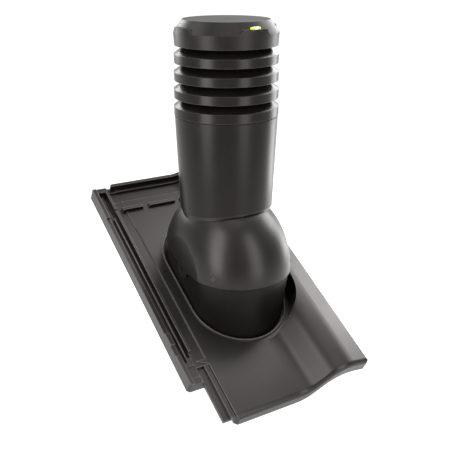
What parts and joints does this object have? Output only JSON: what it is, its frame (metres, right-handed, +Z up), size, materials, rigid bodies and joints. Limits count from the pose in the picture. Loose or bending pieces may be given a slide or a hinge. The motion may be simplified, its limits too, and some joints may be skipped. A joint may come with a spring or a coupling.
{
  "type": "roof tile vent",
  "caption": "Roof vent on a moulded pan tile: a hood tilts on a fixed ball to set the louvred vent pipe upright on a sloping roof.",
  "frame": {"origin": "middle of the hanging nib's bearing face under the tile's head, where the tile hooks over its batten", "axes": "+Z up along the upright vent pipe, -Y down the roof slope in plan, +X across the tile towards the roll"},
  "size_m": [0.27, 0.4548, 0.5666],
  "materials": {
    "tile": "satin",
    "ball": "satin",
    "hood": "satin",
    "pipe": "satin",
    "head": "satin",
    "duct": "matt",
    "screw": "satin",
    "vial": "clear tinted"
  },
  "bodies": {
    "tile": {"tile_plate": "tile", "ball_insert": "ball"},
    "stack": {"hood": "hood", "lock_screws": "screw", "pipe_sleeve": "pipe", "inner_duct": "duct", "louvre_head": "head", "vent_cap": "head", "level_vial": "vial"}
  },
  "joints": [
    {"name": "pitch_tilt", "type": "hinge", "parent": "tile", "child": "stack", "pos_m": [0, -0.19888, -0.0414], "axis": [1, 0, 0], "range_deg": [-10, 10]}
  ]
}
